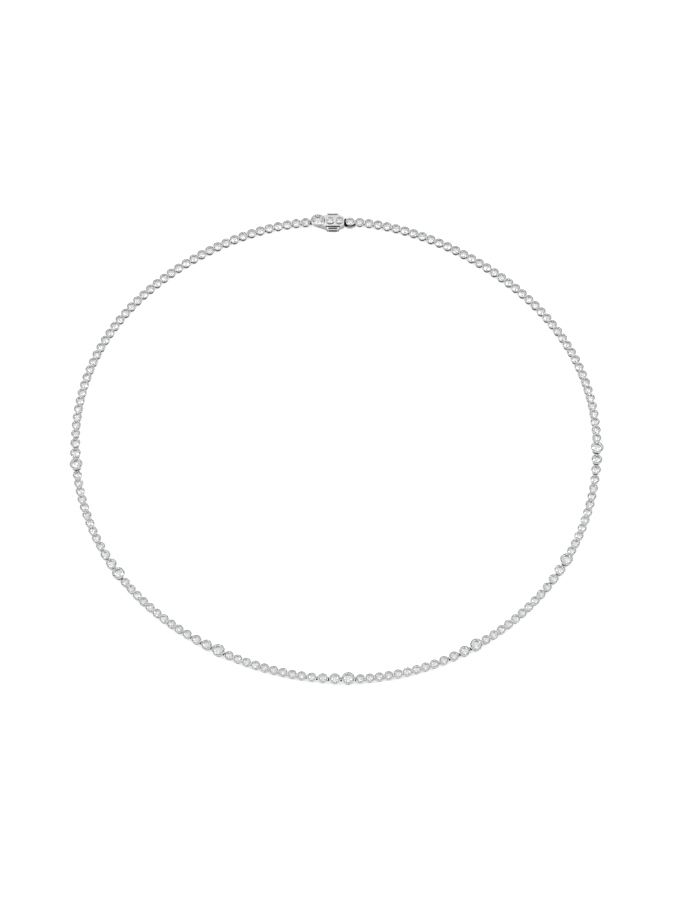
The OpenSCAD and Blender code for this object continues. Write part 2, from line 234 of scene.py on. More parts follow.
def turn_profile(bm, profile, segments, matrix=Matrix()):
    """Turns a closed outline of (radius, height) points round Z into a closed ring or solid."""
    rings = []
    for r, z in profile:
        if r < 1e-6:
            rings.append([bm.verts.new(matrix @ Vector((0, 0, z)))])
            continue
        rings.append([
            bm.verts.new(matrix @ Vector((r * math.cos(a), r * math.sin(a), z)))
            for a in (2 * math.pi * k / segments for k in range(segments))
        ])
    for one, two in zip(rings, rings[1:] + rings[:1]):
        if len(one) == 1 and len(two) == 1:
            continue
        for k in range(segments):
            n = (k + 1) % segments
            corners = [one[k % len(one)], one[n % len(one)], two[n % len(two)], two[k % len(two)]]
            bm.faces.new(list(dict.fromkeys(corners)))
    bmesh.ops.recalc_face_normals(bm, faces=bm.faces)


def prism(bm, outline, low, high, matrix=Matrix()):
    """Pulls a closed outline of (x, y) points up from z = low to z = high."""
    bottom = [bm.verts.new(matrix @ Vector((x, y, low))) for x, y in outline]
    top = [bm.verts.new(matrix @ Vector((x, y, high))) for x, y in outline]
    bm.faces.new(bottom[::-1])
    bm.faces.new(top)
    for k in range(len(outline)):
        n = (k + 1) % len(outline)
        bm.faces.new([bottom[k], bottom[n], top[n], top[k]])


def block(bm, low, high):
    prism(bm, [(low[0], low[1]), (high[0], low[1]), (high[0], high[1]), (low[0], high[1])], low[2], high[2])


def solid(draw):
    """A bmesh of one solid, drawn by the function given."""
    bm = bmesh.new()
    draw(bm)
    bmesh.ops.recalc_face_normals(bm, faces=bm.faces)
    return bm


def combined(bm, others, operation):
    """The solid bm joined with, or cut by, each of the others in turn."""
    mesh = bpy.data.meshes.new("work")
    bm.to_mesh(mesh)
    bm.free()
    work = new_object("work", mesh)
    tools = []
    for other in others:
        tool_mesh = bpy.data.meshes.new("tool")
        other.to_mesh(tool_mesh)
        other.free()
        tool = new_object("tool", tool_mesh)
        tools.append(tool)
        modifier = work.modifiers.new("combine", "BOOLEAN")
        modifier.operation = operation
        modifier.solver = "EXACT"
        modifier.object = tool
    bpy.context.view_layer.update()
    shape = work.evaluated_get(bpy.context.evaluated_depsgraph_get())
    result = bmesh.new()
    result.from_mesh(shape.to_mesh())
    shape.to_mesh_clear()
    for obj in [work] + tools:
        old = obj.data
        bpy.data.objects.remove(obj)
        bpy.data.meshes.remove(old)
    return result


def softened(name, bm, width, angle=35):
    """The solid with its sharp edges rounded by width, as a mesh in metres."""
    mesh = bpy.data.meshes.new("work")
    bmesh.ops.remove_doubles(bm, verts=bm.verts, dist=1e-4)
    bmesh.ops.dissolve_limit(bm, angle_limit=math.radians(0.5), verts=bm.verts, edges=bm.edges)
    bm.to_mesh(mesh)
    bm.free()
    work = new_object("work", mesh)
    bevel = work.modifiers.new("soften", "BEVEL")
    bevel.width = width
    bevel.segments = EDGE_STEPS
    bevel.limit_method = "ANGLE"
    bevel.angle_limit = math.radians(angle)
    bevel.use_clamp_overlap = True
    bpy.context.view_layer.update()
    shape = work.evaluated_get(bpy.context.evaluated_depsgraph_get())
    result = bmesh.new()
    result.from_mesh(shape.to_mesh())
    shape.to_mesh_clear()
    bpy.data.objects.remove(work)
    bpy.data.meshes.remove(mesh)
    return new_mesh(name, result)


def joined(name, meshes):
    """One mesh of several, which share their materials."""
    bm = bmesh.new()
    for mesh in meshes:
        bm.from_mesh(mesh)
    result = bpy.data.meshes.new(name)
    bm.to_mesh(result)
    bm.free()
    for material in meshes[0].materials:
        result.materials.append(material)
    for mesh in meshes:
        bpy.data.meshes.remove(mesh)
    return result


# Where the links lie

def islands(node):
    """The separate solids of a CAD node: each one's corners, faces' normals and areas."""
    bm = bmesh.new()
    bm.from_mesh(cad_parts[node].data)
    bmesh.ops.remove_doubles(bm, verts=bm.verts, dist=1e-7)
    bm.verts.ensure_lookup_table()
    seen = set()
    found = []
    for start in bm.verts:
        if start.index in seen:
            continue
        group, todo = [], [start]
        seen.add(start.index)
        while todo:
            vert = todo.pop()
            group.append(vert)
            for edge in vert.link_edges:
                other = edge.other_vert(vert)
                if other.index not in seen:
                    seen.add(other.index)
                    todo.append(other)
        faces = {face for vert in group for face in vert.link_faces}
        found.append((
            np.array([vert.co for vert in group]) / MM,
            np.array([face.normal for face in faces]),
            np.array([face.calc_area() for face in faces]),
        ))
    bm.free()
    return found


class Link:
    """Where one link lies: its foot's middle, its own axes and its stone's diameter."""

    LEVEL = 0.97
    RIM_DEPTH = 0.01
    EYE_DEPTH = 0.25

    def __init__(self, kind, corners, normals, areas):
        level = normals[:, 2] > self.LEVEL
        up = (normals[level] * areas[level, None]).sum(0)
        up /= np.linalg.norm(up)
        heights = corners @ up
        low, high = heights.min(), heights.max()
        rim = corners[heights > high - self.RIM_DEPTH]
        middle = (rim.max(0) + rim.min(0)) / 2
        foot = middle - up * (middle @ up - low)
        out = corners - foot
        out -= np.outer(out @ up, up)
        reach = np.linalg.norm(out, axis=1)
        eye = out[reach > reach.max() - self.EYE_DEPTH]
        along = (eye.max(0) + eye.min(0)) / 2
        along -= up * (along @ up)
        along /= np.linalg.norm(along)
        across = np.cross(up, along)
        self.kind = kind
        self.axes = Matrix(np.array([along, across, up]).T.tolist())
        self.foot = Vector(foot)
        self.stone_d = round((high - low - LIP_H - HINGE_ROOM) / PAVILION, 2)
        self.clockwise = math.atan2(foot[0], foot[1]) % (2 * math.pi)

    def point(self, x, y, z):
        return self.foot + self.axes @ Vector((x, y, z))

    @property
    def bar(self):
        return self.point(-bar_x(self.stone_d), 0, HINGE_H)


clasp_low, clasp_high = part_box("clasp_box")
clasp_at = Vector(((clasp_low.x + clasp_high.x) / 2, (clasp_low.y + clasp_high.y) / 2, 0)) / MM

# The CAD nodes that hold each kind of link
LINK_NODES = {
    "small": ["chain_right", "chain_left"],
    "graduated": sorted(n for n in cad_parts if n.startswith("graduated_") and "stone" not in n),
    "accent": sorted(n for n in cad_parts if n.startswith("accent_") and "stone" not in n),
}


def read_links():
    """All links in their order round the loop, from the clasp's tongue to its box."""
    links = []
    for kind, nodes in LINK_NODES.items():
        for node in nodes:
            links += [Link(kind, *island) for island in islands(node)]
    links.sort(key=lambda link: link.clockwise)
    bars = [link.bar for link in links] + [clasp_at + Vector((CLASP_BAR_X, 0, HINGE_H))]
    rims = [link.point(-rim_r(link.stone_d), 0, STOP_FOOT) for link in links]
    rims.append(clasp_at + Vector((END_X - END_D / 2, 0, STOP_FOOT)))
    tops = [collet_h(link.stone_d) for link in links]
    for k, link in enumerate(links):
        link.next_bar, link.next_rim = bars[k + 1], rims[k + 1]
        link.next_top = min(tops[k:k + 2])
    return links


# Setting out repeated parts

def link_nodes(tree, *pairs):
    """Links each pair's output to its input."""
    for one, two in pairs:
        tree.links.new(one, two)


def set_out_tree():
    """Puts a part on every point, turned and stretched as the points say, and spun at random if asked."""
    tree = bpy.data.node_groups.new("set out", "GeometryNodeTree")
    for name, kind in (
        ("Points", "NodeSocketGeometry"),
        ("Part", "NodeSocketObject"),
        ("Finish", "NodeSocketMaterial"),
        ("Spin", "NodeSocketFloat"),
        ("Seed", "NodeSocketInt"),
    ):
        tree.interface.new_socket(name, in_out="INPUT", socket_type=kind)
    tree.interface.new_socket("Parts", in_out="OUTPUT", socket_type="NodeSocketGeometry")
    new = tree.nodes.new
    given, made = new("NodeGroupInput"), new("NodeGroupOutput")
    part, put = new("GeometryNodeObjectInfo"), new("GeometryNodeInstanceOnPoints")
    turn, stretch = new("GeometryNodeInputNamedAttribute"), new("GeometryNodeInputNamedAttribute")
    for node, name in ((turn, "turn"), (stretch, "stretch")):
        node.data_type = "FLOAT_VECTOR"
        node.inputs["Name"].default_value = name
    as_rotation, spun = new("FunctionNodeEulerToRotation"), new("FunctionNodeRotateRotation")
    spun.rotation_space = "LOCAL"
    chance, spin = new("FunctionNodeRandomValue"), new("ShaderNodeCombineXYZ")
    spin_rotation = new("FunctionNodeEulerToRotation")
    realize, finish = new("GeometryNodeRealizeInstances"), new("GeometryNodeSetMaterial")
    chance.data_type = "FLOAT"
    highest = next(s for s in chance.inputs if s.name == "Max" and s.type == "VALUE")
    drawn = next(s for s in chance.outputs if s.type == "VALUE")
    link_nodes(
        tree,
        (given.outputs["Points"], put.inputs["Points"]),
        (given.outputs["Part"], part.inputs["Object"]),
        (part.outputs["Geometry"], put.inputs["Instance"]),
        (turn.outputs["Attribute"], as_rotation.inputs[0]),
        (given.outputs["Spin"], highest),
        (given.outputs["Seed"], chance.inputs["Seed"]),
        (drawn, spin.inputs["Z"]),
        (spin.outputs[0], spin_rotation.inputs[0]),
        (as_rotation.outputs[0], spun.inputs["Rotation"]),
        (spin_rotation.outputs[0], spun.inputs["Rotate By"]),
        (spun.outputs[0], put.inputs["Rotation"]),
        (stretch.outputs["Attribute"], put.inputs["Scale"]),
        (put.outputs[0], realize.inputs[0]),
        (realize.outputs[0], finish.inputs["Geometry"]),
        (given.outputs["Finish"], finish.inputs["Material"]),
        (finish.outputs[0], made.inputs[0]),
    )
    return tree


SET_OUT = set_out_tree()


def set_out(name, part_mesh, places, finish, spin=0.0, seed=1):
    """A plain mesh of the part at each place, given as (point, axes, stretch)."""
    part_mesh.materials.append(finish)
    part = new_object("part", part_mesh)
    points = bpy.data.meshes.new("points")
    points.from_pydata([point * MM for point, _, _ in places], [], [])
    for key, values in (
        ("turn", [axes.to_euler("XYZ") for _, axes, _ in places]),
        ("stretch", [stretch for _, _, stretch in places]),
    ):
        attribute = points.attributes.new(key, "FLOAT_VECTOR", "POINT")
        attribute.data.foreach_set("vector", [value for vector in values for value in vector])
    holder = new_object("points", points)
    modifier = holder.modifiers.new("set out", "NODES")
    modifier.node_group = SET_OUT
    values = {"Part": part, "Finish": finish, "Spin": spin, "Seed": seed}
    for socket in SET_OUT.interface.items_tree:
        if socket.in_out == "INPUT" and socket.name in values:
            modifier[socket.identifier] = values[socket.name]
    bpy.context.view_layer.update()
    shape = holder.evaluated_get(bpy.context.evaluated_depsgraph_get())
    mesh = bpy.data.meshes.new_from_object(shape)
    mesh.name = name
    bpy.data.objects.remove(holder)
    bpy.data.objects.remove(part)
    bpy.data.meshes.remove(points)
    bpy.data.meshes.remove(part_mesh)
    return mesh


# Finishes, with painted shade, painted light and painted reflections

# The colour sockets of a Mix node
MIX_A, MIX_B, MIXED = 6, 7, 2
# The near black of the painted shade close to the floor
RECESS_SHADE_COLOUR = (0.02, 0.02, 0.02, 1)


def shader_group(name, inputs, outputs):
    """An empty group of shader nodes, with its input and output nodes."""
    group = bpy.data.node_groups.new(name, "ShaderNodeTree")
    for label, kind, value in inputs:
        socket = group.interface.new_socket(label, in_out="INPUT", socket_type=kind)
        if value is not None:
            socket.default_value = value
    for label, kind in outputs:
        group.interface.new_socket(label, in_out="OUTPUT", socket_type=kind)
    return group, group.nodes.new("NodeGroupInput"), group.nodes.new("NodeGroupOutput")


def set_range(node, start, end):
    node.inputs["From Min"].default_value = start
    node.inputs["From Max"].default_value = end


def polish_and_shade_group():
    """Fine polishing marks and cloudy smears, with painted shade that darkens faces that look sideways and
    faces close to the floor.
    """
    group, given, made = shader_group(
        "polish_and_shade",
        [
            ("Vector", "NodeSocketVector", None),
            ("Normal", "NodeSocketVector", None),
            ("Colour", "NodeSocketColor", (0.8, 0.8, 0.8, 1)),
            ("Smear colour", "NodeSocketColor", (0.6, 0.6, 0.6, 1)),
            ("Side shade colour", "NodeSocketColor", (0.3, 0.3, 0.3, 1)),
            ("Smears per metre", "NodeSocketFloat", 900.0),
            ("Marks per metre", "NodeSocketFloat", 9000.0),
            ("Roughness", "NodeSocketFloat", 0.12),
            ("Roughness spread", "NodeSocketFloat", 0.1),
            ("Recess shade height", "NodeSocketFloat", 0.0),
        ],
        [("Colour", "NodeSocketColor"), ("Roughness", "NodeSocketFloat"), ("Height", "NodeSocketFloat")],
    )
    new = group.nodes.new
    smears, marks, stretch = new("ShaderNodeTexNoise"), new("ShaderNodeTexNoise"), new("ShaderNodeMapping")
    smears.inputs["Detail"].default_value = 3.0
    marks.inputs["Detail"].default_value = 4.0
    stretch.inputs["Scale"].default_value = (1.0, 0.25, 1.0)
    smear, sides, dark = new("ShaderNodeMix"), new("ShaderNodeMix"), new("ShaderNodeMix")
    smear.data_type = sides.data_type = dark.data_type = "RGBA"
    dark.inputs[MIX_B].default_value = RECESS_SHADE_COLOUR
    rough, fine = new("ShaderNodeMath"), new("ShaderNodeMath")
    rough.operation = fine.operation = "MULTIPLY_ADD"
    fine.inputs[1].default_value = 0.04
    height, facing = new("ShaderNodeSeparateXYZ"), new("ShaderNodeSeparateXYZ")
    cloud, recess, side = new("ShaderNodeMapRange"), new("ShaderNodeMapRange"), new("ShaderNodeMapRange")
    set_range(cloud, 0.35, 0.7)
    # Painted shade: faces darken towards the side colour as they turn sideways, and to near black below the
    # recess height
    set_range(side, 0.0, 0.9)
    for falling in (recess, side):
        falling.inputs["To Min"].default_value = 1.0
        falling.inputs["To Max"].default_value = 0.0
    link_nodes(
        group,
        (given.outputs["Vector"], height.inputs[0]),
        (height.outputs["Z"], recess.inputs["Value"]),
        (given.outputs["Recess shade height"], recess.inputs["From Max"]),
        (given.outputs["Normal"], facing.inputs[0]),
        (facing.outputs["Z"], side.inputs["Value"]),
        (given.outputs["Vector"], smears.inputs["Vector"]),
        (given.outputs["Smears per metre"], smears.inputs["Scale"]),
        (given.outputs["Vector"], stretch.inputs["Vector"]),
        (stretch.outputs[0], marks.inputs["Vector"]),
        (given.outputs["Marks per metre"], marks.inputs["Scale"]),
        (smears.outputs[0], cloud.inputs["Value"]),
        (cloud.outputs["Result"], smear.inputs["Factor"]),
        (given.outputs["Colour"], smear.inputs[MIX_A]),
        (given.outputs["Smear colour"], smear.inputs[MIX_B]),
        (side.outputs["Result"], sides.inputs["Factor"]),
        (smear.outputs[MIXED], sides.inputs[MIX_A]),
        (given.outputs["Side shade colour"], sides.inputs[MIX_B]),
        (recess.outputs["Result"], dark.inputs["Factor"]),
        (sides.outputs[MIXED], dark.inputs[MIX_A]),
        (dark.outputs[MIXED], made.inputs["Colour"]),
        (cloud.outputs["Result"], rough.inputs[0]),
        (given.outputs["Roughness spread"], rough.inputs[1]),
        (given.outputs["Roughness"], rough.inputs[2]),
        (marks.outputs[0], fine.inputs[0]),
        (rough.outputs[0], fine.inputs[2]),
        (fine.outputs[0], made.inputs["Roughness"]),
        (marks.outputs[0], made.inputs["Height"]),
    )
    return group


POLISH_AND_SHADE = polish_and_shade_group()


def polished_metal(name, colour, smear, sides, roughness, spread, recess, edge_tint):
    """Polished metal with painted shade. Sides is the colour that faces looking sideways are painted towards,
    and recess is the height, in millimetres, up to which a painted shade darkens it to the floor.
    """
    material = bpy.data.materials.new(name)
    material.use_nodes = True
    tree = material.node_tree
    shader = tree.nodes["Principled BSDF"]
    shader.inputs["Metallic"].default_value = 1.0
    shader.inputs["Specular Tint"].default_value = (edge_tint, edge_tint, edge_tint, 1)
    coordinates, polish_and_shade = tree.nodes.new("ShaderNodeTexCoord"), tree.nodes.new("ShaderNodeGroup")
    polish_and_shade.node_tree = POLISH_AND_SHADE
    polish_and_shade.inputs["Colour"].default_value = (*colour, 1)
    polish_and_shade.inputs["Smear colour"].default_value = (*smear, 1)
    polish_and_shade.inputs["Roughness"].default_value = roughness
    polish_and_shade.inputs["Roughness spread"].default_value = spread
    polish_and_shade.inputs["Side shade colour"].default_value = (*sides, 1)
    polish_and_shade.inputs["Recess shade height"].default_value = recess * MM
    relief = tree.nodes.new("ShaderNodeBump")
    relief.inputs["Strength"].default_value = 0.06
    relief.inputs["Distance"].default_value = 0.01 * MM
    link_nodes(
        tree,
        (coordinates.outputs["Object"], polish_and_shade.inputs["Vector"]),
        (coordinates.outputs["Normal"], polish_and_shade.inputs["Normal"]),
        (polish_and_shade.outputs["Colour"], shader.inputs["Base Color"]),
        (polish_and_shade.outputs["Roughness"], shader.inputs["Roughness"]),
        (polish_and_shade.outputs["Height"], relief.inputs["Height"]),
        (relief.outputs["Normal"], shader.inputs["Normal"]),
    )
    return material


def white_gold():
    """The collets' bright polish, with painted shade on their sides and close to the floor."""
    return polished_metal(
        "white gold", colour=(0.8, 0.81, 0.8), smear=(0.68, 0.69, 0.68), sides=(0.27, 0.275, 0.27),
        roughness=0.12, spread=0.12, recess=0.45, edge_tint=0.25)


def painted_dark_shade_and_reflection():
    """Near black metal for the clasp's faces where shade falls and for its polished faces that mirror
    something dark: painted shade and painted reflection.
    """
    return polished_metal(
        "painted dark shade and reflection", colour=(0.006, 0.006, 0.007), smear=(0.015, 0.015, 0.016), sides=(0.004, 0.004, 0.004),
        roughness=0.08, spread=0.08, recess=0.4, edge_tint=0.0)


def clasp_gold():
    """The clasp's white gold, whose sloping walls get only a light painted shade and stay light."""
    return polished_metal(
        "clasp white gold", colour=(0.78, 0.79, 0.78), smear=(0.68, 0.69, 0.68), sides=(0.45, 0.47, 0.45),
        roughness=0.14, spread=0.12, recess=0.05, edge_tint=0.5)


def satin_and_shaded_gold():
    """The wide sloping rim round the clasp's large stone, a little rougher, and painted a little greyer than
    the rest as painted shade.
    """
    return polished_metal(
        "satin white gold in painted shade", colour=(0.5, 0.51, 0.5), smear=(0.4, 0.41, 0.4), sides=(0.3, 0.31, 0.3),
        roughness=0.2, spread=0.12, recess=0.05, edge_tint=0.4)


def lit_seat_gold():
    """The clasp's seats, painted brighter than the metal as painted light, so that they throw light back
    through the stones.
    """
    return polished_metal(
        "seat gold painted lit", colour=(0.95, 0.96, 0.95), smear=(0.92, 0.93, 0.92), sides=(0.9, 0.91, 0.9),
        roughness=0.1, spread=0.05, recess=0.05, edge_tint=1.0)


def hinge_shade_metal():
    """The hinges' and stops' metal, much duller than the collets: near black, a painted shade for the gaps
    between them.
    """
    return polished_metal(
        "hinge white gold painted in shade", colour=(0.045, 0.045, 0.045), smear=(0.03, 0.03, 0.03),
        sides=(0.015, 0.015, 0.015), roughness=0.22, spread=0.15, recess=0.6, edge_tint=0.1)


def clear_stone():
    """A colourless cut stone, very faintly clouded, with a painted shade greying the steep part of its crown.
    """
    material = bpy.data.materials.new("clear stone")
    material.use_nodes = True
    tree = material.node_tree
    shader = tree.nodes["Principled BSDF"]
    shader.inputs["Roughness"].default_value = 0.0
    shader.inputs["IOR"].default_value = 2.4
    shader.inputs["Transmission Weight"].default_value = 1.0
    coordinates, clouds = tree.nodes.new("ShaderNodeTexCoord"), tree.nodes.new("ShaderNodeTexNoise")
    facing, level = tree.nodes.new("ShaderNodeSeparateXYZ"), tree.nodes.new("ShaderNodeMapRange")
    tint, crown = tree.nodes.new("ShaderNodeMix"), tree.nodes.new("ShaderNodeMix")
    tint.data_type = crown.data_type = "RGBA"
    tint.inputs[MIX_A].default_value = (0.97, 0.985, 0.98, 1)
    tint.inputs[MIX_B].default_value = (0.9, 0.93, 0.925, 1)
    # Painted shade: the grey of the steep crown facets
    crown.inputs[MIX_A].default_value = (0.68, 0.7, 0.7, 1)
    clouds.inputs["Scale"].default_value = 700.0
    set_range(level, 0.74, 0.9)
    link_nodes(
        tree,
        (coordinates.outputs["Object"], clouds.inputs["Vector"]),
        (coordinates.outputs["Normal"], facing.inputs[0]),
        (facing.outputs["Z"], level.inputs["Value"]),
        (clouds.outputs[0], tint.inputs["Factor"]),
        (level.outputs["Result"], crown.inputs["Factor"]),
        (tint.outputs[MIXED], crown.inputs[MIX_B]),
        (crown.outputs[MIXED], shader.inputs["Base Color"]),
    )
    return material


def white_board():
    """The floor's matt white, with a faint glow that keeps it as white as the photograph's."""
    material = bpy.data.materials.new("white board")
    material.use_nodes = True
    shader = material.node_tree.nodes["Principled BSDF"]
    shader.inputs["Base Color"].default_value = (0.93, 0.93, 0.93, 1)
    shader.inputs["Emission Color"].default_value = (1, 1, 1, 1)
    shader.inputs["Emission Strength"].default_value = 0.5
    shader.inputs["Roughness"].default_value = 0.7
    shader.inputs["Specular IOR Level"].default_value = 0.2
    return material


GOLD = white_gold()
PAINTED_DARK = painted_dark_shade_and_reflection()
HINGE_SHADE = hinge_shade_metal()
CLASP = clasp_gold()
SATIN_SHADED = satin_and_shaded_gold()
LIT_SEAT = lit_seat_gold()
STONE = clear_stone()


# Parts of a link

# Turns a prism's outline from (x, y) to (y, z), so that its height runs along X
LYING = Matrix(((0, 0, 1, 0), (1, 0, 0, 0), (0, 1, 0, 0), (0, 0, 0, 1)))
# Edges steeper than this stay sharp on bevelled wire
BEVEL_SHARP = 60


def collet_profile(d, h, foot, steps):
    """Half of a collet cut through: foot, sloping wall, rounded rim, seat and throat."""
    outer = rim_r(d)
    seat_r = d / 2 + STONE_GAP
    seat_z = h - LIP_H - STONE_GAP
    throat_r = d / 2 - RIM_W / 2
    throat_z = seat_z - (seat_r - throat_r) * 2 * PAVILION
    rim = arc((outer - RIM_ROUND, h - RIM_ROUND), RIM_ROUND, -RIM_UNDERCUT, 90, steps)
    inner = arc((seat_r + LIP_ROUND, h - LIP_ROUND), LIP_ROUND, 90, 180, 2)
    return [
        (foot - FOOT_WALL + FOOT_EDGE, 0),
        (foot - FOOT_EDGE, 0),
        (foot, FOOT_EDGE),
        *rim,
        *inner,
        (seat_r, seat_z),
        (throat_r, throat_z),
        (foot - FOOT_WALL, FOOT_EDGE),
    ]


def collet_mesh(d, sides, steps):
    """A collet with the slot for its neighbour's eye and the bar across it."""
    x = -bar_x(d)
    profile = collet_profile(d, collet_h(d), side_r(d, 0), steps)
    cup = solid(lambda bm: turn_profile(bm, profile, sides))
    slot = solid(lambda bm: block(
        bm, (x - PAST, -SLOT_W / 2, -PAST), (x + SLOT_REACH, SLOT_W / 2, HINGE_H + SLOT_REACH)))
    cup = combined(cup, [slot], "DIFFERENCE")
    draw_bar(cup, x)
    return new_mesh("collet", cup)


def draw_bar(bm, x):
    """The hinge bar at x, let into the walls on both sides of the slot."""
    half = SLOT_W / 2 + BAR_GAP
    across = Matrix.Translation((x, 0, HINGE_H)) @ Matrix.Rotation(math.radians(90), 4, "X")
    turn_profile(bm, [(0, -half), (BAR_R, -half), (BAR_R, half), (0, half)], BAR_SIDES, across)


def eye_mesh():
    """The ring that goes round a neighbour's bar, with bevelled edges. Its hole is along Y."""
    half = EYE_W / 2
    profile = [
        (EYE_HOLE_R, BEVEL - half), (EYE_HOLE_R + BEVEL, -half),
        (EYE_R - BEVEL, -half), (EYE_R, BEVEL - half),
        (EYE_R, half - BEVEL), (EYE_R - BEVEL, half),
        (EYE_HOLE_R + BEVEL, half), (EYE_HOLE_R, half - BEVEL),
    ]
    across = Matrix.Rotation(math.radians(90), 4, "X")
    return new_mesh("eye", solid(lambda bm: turn_profile(bm, profile, EYE_SIDES, across)), BEVEL_SHARP)


def arm_mesh():
    """The arm behind an eye, one millimetre long from x = 0, with bevelled long edges."""
    y, z = EYE_W / 2, EYE_WIRE
    outline = [
        (y - BEVEL, -z), (y, BEVEL - z), (y, z - BEVEL), (y - BEVEL, z),
        (BEVEL - y, z), (-y, z - BEVEL), (-y, BEVEL - z), (BEVEL - y, -z),
    ]
    return new_mesh("arm", solid(lambda bm: prism(bm, outline, 0, 1, LYING)), BEVEL_SHARP)


def stop_mesh():
    """A block one millimetre each way, standing on z = 0, to be stretched into a stop plate."""
    return new_mesh("stop", solid(lambda bm: block(bm, (-0.5, -0.5, 0), (0.5, 0.5, 1))))


def stone_mesh(d):
    """A round brilliant with its girdle's foot at z = 0. Every facet is flat."""
    r = d / 2
    half = math.pi / MAINS
    table_r = r * TABLE
    crown = CROWN * d
    girdle = GIRDLE * d
    depth = PAVILION * d
    star_r = table_r * math.cos(half) + STAR_LENGTH * (r - table_r * math.cos(half))
    star_z = girdle + crown * (r - star_r * math.cos(half)) / (r - table_r)
    lower_r = r * (1 - LOWER_LENGTH) / math.cos(half)
    lower_z = -depth * LOWER_LENGTH
    bm = bmesh.new()

    def ring(count, radius, z, offset=0.0):
        angles = [2 * math.pi * (k + offset) / count for k in range(count)]
        return [bm.verts.new((radius * math.cos(a), radius * math.sin(a), z)) for a in angles]

    table = ring(MAINS, table_r, girdle + crown)
    star = ring(MAINS, star_r, star_z, 0.5)
    top = ring(2 * MAINS, r, girdle)
    under = ring(2 * MAINS, r, 0)
    lower = ring(MAINS, lower_r, lower_z, 0.5)
    point = bm.verts.new((0, 0, -depth))
    bm.faces.new(table)
    for k in range(MAINS):
        n = (k + 1) % MAINS
        a, b, c = 2 * k, 2 * k + 1, (2 * k + 2) % (2 * MAINS)
        bm.faces.new([table[k], star[k], table[n]])
        bm.faces.new([table[n], star[k], top[c], star[n]])
        bm.faces.new([star[k], top[a], top[b]])
        bm.faces.new([star[k], top[b], top[c]])
        bm.faces.new([top[a], under[a], under[b], top[b]])
        bm.faces.new([top[b], under[b], under[c], top[c]])
        bm.faces.new([lower[k], under[b], under[a]])
        bm.faces.new([lower[k], under[c], under[b]])
        bm.faces.new([lower[k], point, lower[n], under[c]])
    mesh = new_mesh("stone", bm)
    mesh.shade_flat()
    return mesh


# Pieces

def piece(name, mesh, body, slot, *replaced):
    obj = new_object(name, mesh)
    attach(obj, body)
    if replaced:
        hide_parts(*replaced)
    return obj


ONE = Vector((1, 1, 1))


def by_size(links):
    """The links in groups of one stone size, smallest first."""
    sizes = {}
    for link in links:
        sizes.setdefault(link.stone_d, []).append(link)
    return sorted(sizes.items())


def collets(name, links, replaced, sides, steps):
    meshes = [
        set_out("collets", collet_mesh(d, sides, steps), [(link.foot, link.axes, ONE) for link in same], GOLD)
        for d, same in by_size(links)
    ]
    piece(name, joined(name, meshes), "necklace", "white_gold", *replaced)


def stones(name, links, replaced, seed):
    """The links' stones, each turned at random by up to one main facet."""
    meshes = []
    for d, same in by_size(links):
        places = [(link.point(0, 0, girdle_h(d)), link.axes, ONE) for link in same]
        meshes.append(set_out("stones", stone_mesh(d), places, STONE, 2 * math.pi / MAINS, seed))
    piece(name, joined(name, meshes), "necklace", "stone", *replaced)


def hinges(name, links):
    """Each link's eye round its neighbour's bar, the arm that carries it, and the stop between the rims."""
    eyes, arms, stops = [], [], []
    for link in links:
        start = link.point(side_r(link.stone_d, HINGE_H) - OVERLAP, 0, HINGE_H)
        way = link.next_bar - start
        along = way.normalized()
        across = Vector((-along.y, along.x, 0)).normalized()
        axes = Matrix((along, across, along.cross(across))).transposed()
        length = way.length - EYE_HOLE_R - EYE_WIRE / 3
        eyes.append((link.next_bar, axes, ONE))
        arms.append((start, axes, Vector((length, 1, 1))))
        foot = (link.point(rim_r(link.stone_d), 0, STOP_FOOT) + link.next_rim) / 2
        height = link.next_top - STOP_DOWN - STOP_FOOT
        stops.append((foot, link.axes, Vector((STOP_T, STOP_W, height))))
    meshes = [
        set_out("eyes", eye_mesh(), eyes, HINGE_SHADE),
        set_out("arms", arm_mesh(), arms, HINGE_SHADE),
        set_out("stops", stop_mesh(), stops, HINGE_SHADE),
    ]
    piece(name, joined(name, meshes), "necklace", "white_gold")


def at_clasp(mesh):
    """Moves a mesh from the clasp's own frame to the clasp's place."""
    mesh.transform(Matrix.Translation(clasp_at * MM))
    return mesh


def cut_along(mesh, patches):
    """Cuts the faces along the sides of each patch, given as its (low, high) corners in millimetres."""
    bm = bmesh.new()
    bm.from_mesh(mesh)
    for low, high in patches:
        for corner in (low, high):
            for axis in range(3):
                place, normal = Vector((0, 0, 0)), Vector((0, 0, 0))
                place[axis], normal[axis] = corner[axis] * MM, 1
                parts = bm.verts[:] + bm.edges[:] + bm.faces[:]
                bmesh.ops.bisect_plane(bm, geom=parts, plane_co=place, plane_no=normal)
    bm.to_mesh(mesh)
    bm.free()


def in_patches(place, normal, patches):
    """Whether a face looks along an axis and has its middle in one of the patches, or on a patch's side."""
    return max(abs(v) for v in normal) > FLAT and any(
        all(low[k] - TOUCH < place[k] < high[k] + TOUCH for k in range(3)) for low, high in patches)


def paint(mesh, finishes, pick):
    """Gives each face the finish that pick names for its middle, in millimetres, and its normal."""
    for finish in finishes:
        mesh.materials.append(finish)
    for polygon in mesh.polygons:
        polygon.material_index = finishes.index(pick(polygon.center / MM, polygon.normal))


def mirrored(side):
    """A closed outline from one side of it, which runs along X."""
    return [(x, -y) for x, y in side] + side[::-1]


def box_outline():
    """The box from above: straight along the buttons, narrower to the mouth and to the round end."""
    return mirrored([
        (END_X, END_FOOT_D / 2),
        (BUTTON_X - STRAIGHT_HALF, BOX_W / 2),
        (BUTTON_X + STRAIGHT_HALF, BOX_W / 2),
        (MOUTH_X, MOUTH_W / 2),
    ])


